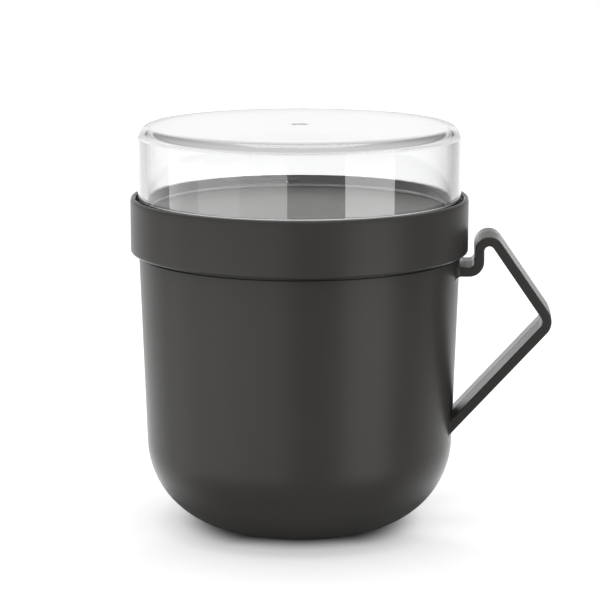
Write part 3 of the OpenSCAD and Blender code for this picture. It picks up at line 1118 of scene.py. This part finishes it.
def makeSurround():
    s = surroundLook
    world = bpy.data.worlds.new("surround")
    bpy.context.scene.world = world
    world.use_nodes = True
    tree = world.node_tree
    tree.nodes.clear()
    path = newNode(tree, "ShaderNodeLightPath").outputs
    ray = newNode(tree, "ShaderNodeTexCoord").outputs["Generated"]
    split = newNode(tree, "ShaderNodeSeparateXYZ")
    tree.links.new(ray, split.inputs[0])

    def heads(degrees, span, first, last, line=ray):
        # steps between two levels by how nearly a ray heads for this direction
        nearly = vectorMath(tree, "DOT_PRODUCT", line, toward(degrees)).outputs["Value"]
        return spreadValue(tree, nearly, span, first, last)

    def byHeight(span, first, last):
        # the same by how steeply the ray climbs
        return spreadValue(tree, split.outputs["Z"], span, first, last)

    # satin plastic mirrors a white wall at the back and left, and a darker room elsewhere
    room = heads(s["backTurn"], s["backSpan"], s["front"], s["back"])
    room = arithmetic(tree, "MULTIPLY", room, byHeight(s["aboveSpan"], 1.0, s["above"]))
    table = heads(180, s["tableSpan"], s["front"], s["table"])
    table = arithmetic(tree, "MAXIMUM", room, table)
    room = mixValues(tree, byHeight(s["tableEdge"], 1.0, 0.0), room, table)
    room = arithmetic(tree, "MULTIPLY", room, byHeight(s["underSpan"], s["under"], 1.0))
    strip = heads(180, s["horizonSpan"], 0.0, s["horizon"])
    strip = arithmetic(tree, "MULTIPLY", strip, byHeight(s["horizonLow"], 0.0, 1.0))
    strip = arithmetic(tree, "MULTIPLY", strip, byHeight(s["horizonHigh"], 1.0, 0.0))
    room = arithmetic(tree, "MAXIMUM", room, strip)
    # late light shows the wall behind, the more so the nearer it heads there
    flat = vectorMath(tree, "MULTIPLY", ray, (1, 1, 0)).outputs[0]
    level = vectorMath(tree, "NORMALIZE", flat).outputs[0]
    guided = arithmetic(
        tree, "MAXIMUM", heads(180, s["guidedSpan"], s["guidedSide"], s["guidedBack"]),
        heads(180, s["guidedLevel"], s["guidedSide"], s["guidedBack"], line=level))
    late = arithmetic(tree, "GREATER_THAN", path["Glossy Depth"], guidedDepth)
    # the backdrop behind the cap is white, and greyer to its sides
    through = heads(180, s["throughSpan"], s["sideThrough"], 1.0)
    strength = s["fill"]
    for ask, brightness in (
        (path["Is Glossy Ray"], room),
        (path["Is Transmission Ray"], through),
        (late, guided),
        (path["Is Camera Ray"], 1.0),
    ):
        strength = mixValues(tree, ask, strength, brightness)
    backdrop = newNode(tree, "ShaderNodeBackground", Color=(1, 1, 1, 1))
    out = newNode(tree, "ShaderNodeOutputWorld")
    tree.links.new(strength, backdrop.inputs["Strength"])
    tree.links.new(backdrop.outputs[0], out.inputs["Surface"])
    world.cycles.sampling_method = "NONE"    # rays that find it themselves keep each level apart


lampLook = {
    "low": -0.2,                   # satin plastic mirrors the panels on past the table
    "top": 0.2,
    "away": 0.5,
    "fadeSpan": (0.0605, 0.0685),  # between these two heights
    "fadeShare": 0.1,              # they fade to this share
    # (direction, width, brightness), with 0 degrees for the viewer's own direction
    "panels": ((-85.6, 27.2, 3.55), (-56, 32, 4.8), (-24, 32, 4.0), (48.3, 36.2, 6.3)),
    "topSize": 0.9,
    "topAway": 1.3,
    "topBright": 3.0,
}


def makePanel(name, at, aim, width, height, bright, mirrorOnly=False):
    light = bpy.data.lights.new(name, "AREA")
    light.shape = "RECTANGLE"
    light.size, light.size_y = width, height
    light.energy = bright * math.pi * width * height     # so that it shines at this brightness
    panel = bpy.data.objects.new(name, light)
    bpy.context.scene.collection.objects.link(panel)
    panel.location = at
    panel.rotation_euler = (Vector(aim) - Vector(at)).to_track_quat("-Z", "Y").to_euler()
    panel.visible_camera = False
    panel.visible_transmission = False
    panel.visible_diffuse = not mirrorOnly
    return light


def makeLights():
    s = lampLook
    middle, tall = (s["top"] + s["low"]) / 2, s["top"] - s["low"]
    for index, (direction, spread, bright) in enumerate(s["panels"]):
        x, y, _ = toward(direction)
        at = (s["away"] * x, s["away"] * y, middle)
        width = 2 * s["away"] * math.tan(math.radians(spread / 2))
        name = "panel" + str(index)
        panel = makePanel(name, at, (0, 0, middle), width, tall, bright, mirrorOnly=True)
        panel.use_nodes = True
        tree = panel.node_tree
        place = newNode(tree, "ShaderNodeNewGeometry")
        split = newNode(tree, "ShaderNodeSeparateXYZ")
        tree.links.new(place.outputs["Position"], split.inputs[0])
        glow = next(node for node in tree.nodes if node.type == "EMISSION")
        fade = spreadValue(tree, split.outputs["Z"], s["fadeSpan"], 1.0, s["fadeShare"])
        tree.links.new(fade, glow.inputs["Strength"])
    size = s["topSize"]
    makePanel("topPanel", (0, 0, s["topAway"]), (0, 0, 0), size, size, s["topBright"])


cameraLook = {
    "at": (0.00016, -0.7606, 0.2217),  # before it turns to the viewer's place
    "down": 10.89,                     # degrees under the horizon
    "lens": 138.98,
    "sensor": 36.0,
}


def makeCamera():
    s = cameraLook
    lens = bpy.data.cameras.new("camera")
    lens.sensor_width = s["sensor"]
    lens.lens = s["lens"]
    camera = bpy.data.objects.new("camera", lens)
    bpy.context.scene.collection.objects.link(camera)
    turn = math.radians(viewTurn)
    camera.location = Matrix.Rotation(turn, 3, "Z") @ Vector(s["at"])
    camera.rotation_euler = (math.radians(90 - s["down"]), 0, turn)
    bpy.context.scene.camera = camera


makeFloor()
makeSurround()
makeLights()
makeCamera()
bpy.context.scene.view_settings.view_transform = "Standard"
print("studio and camera placed")
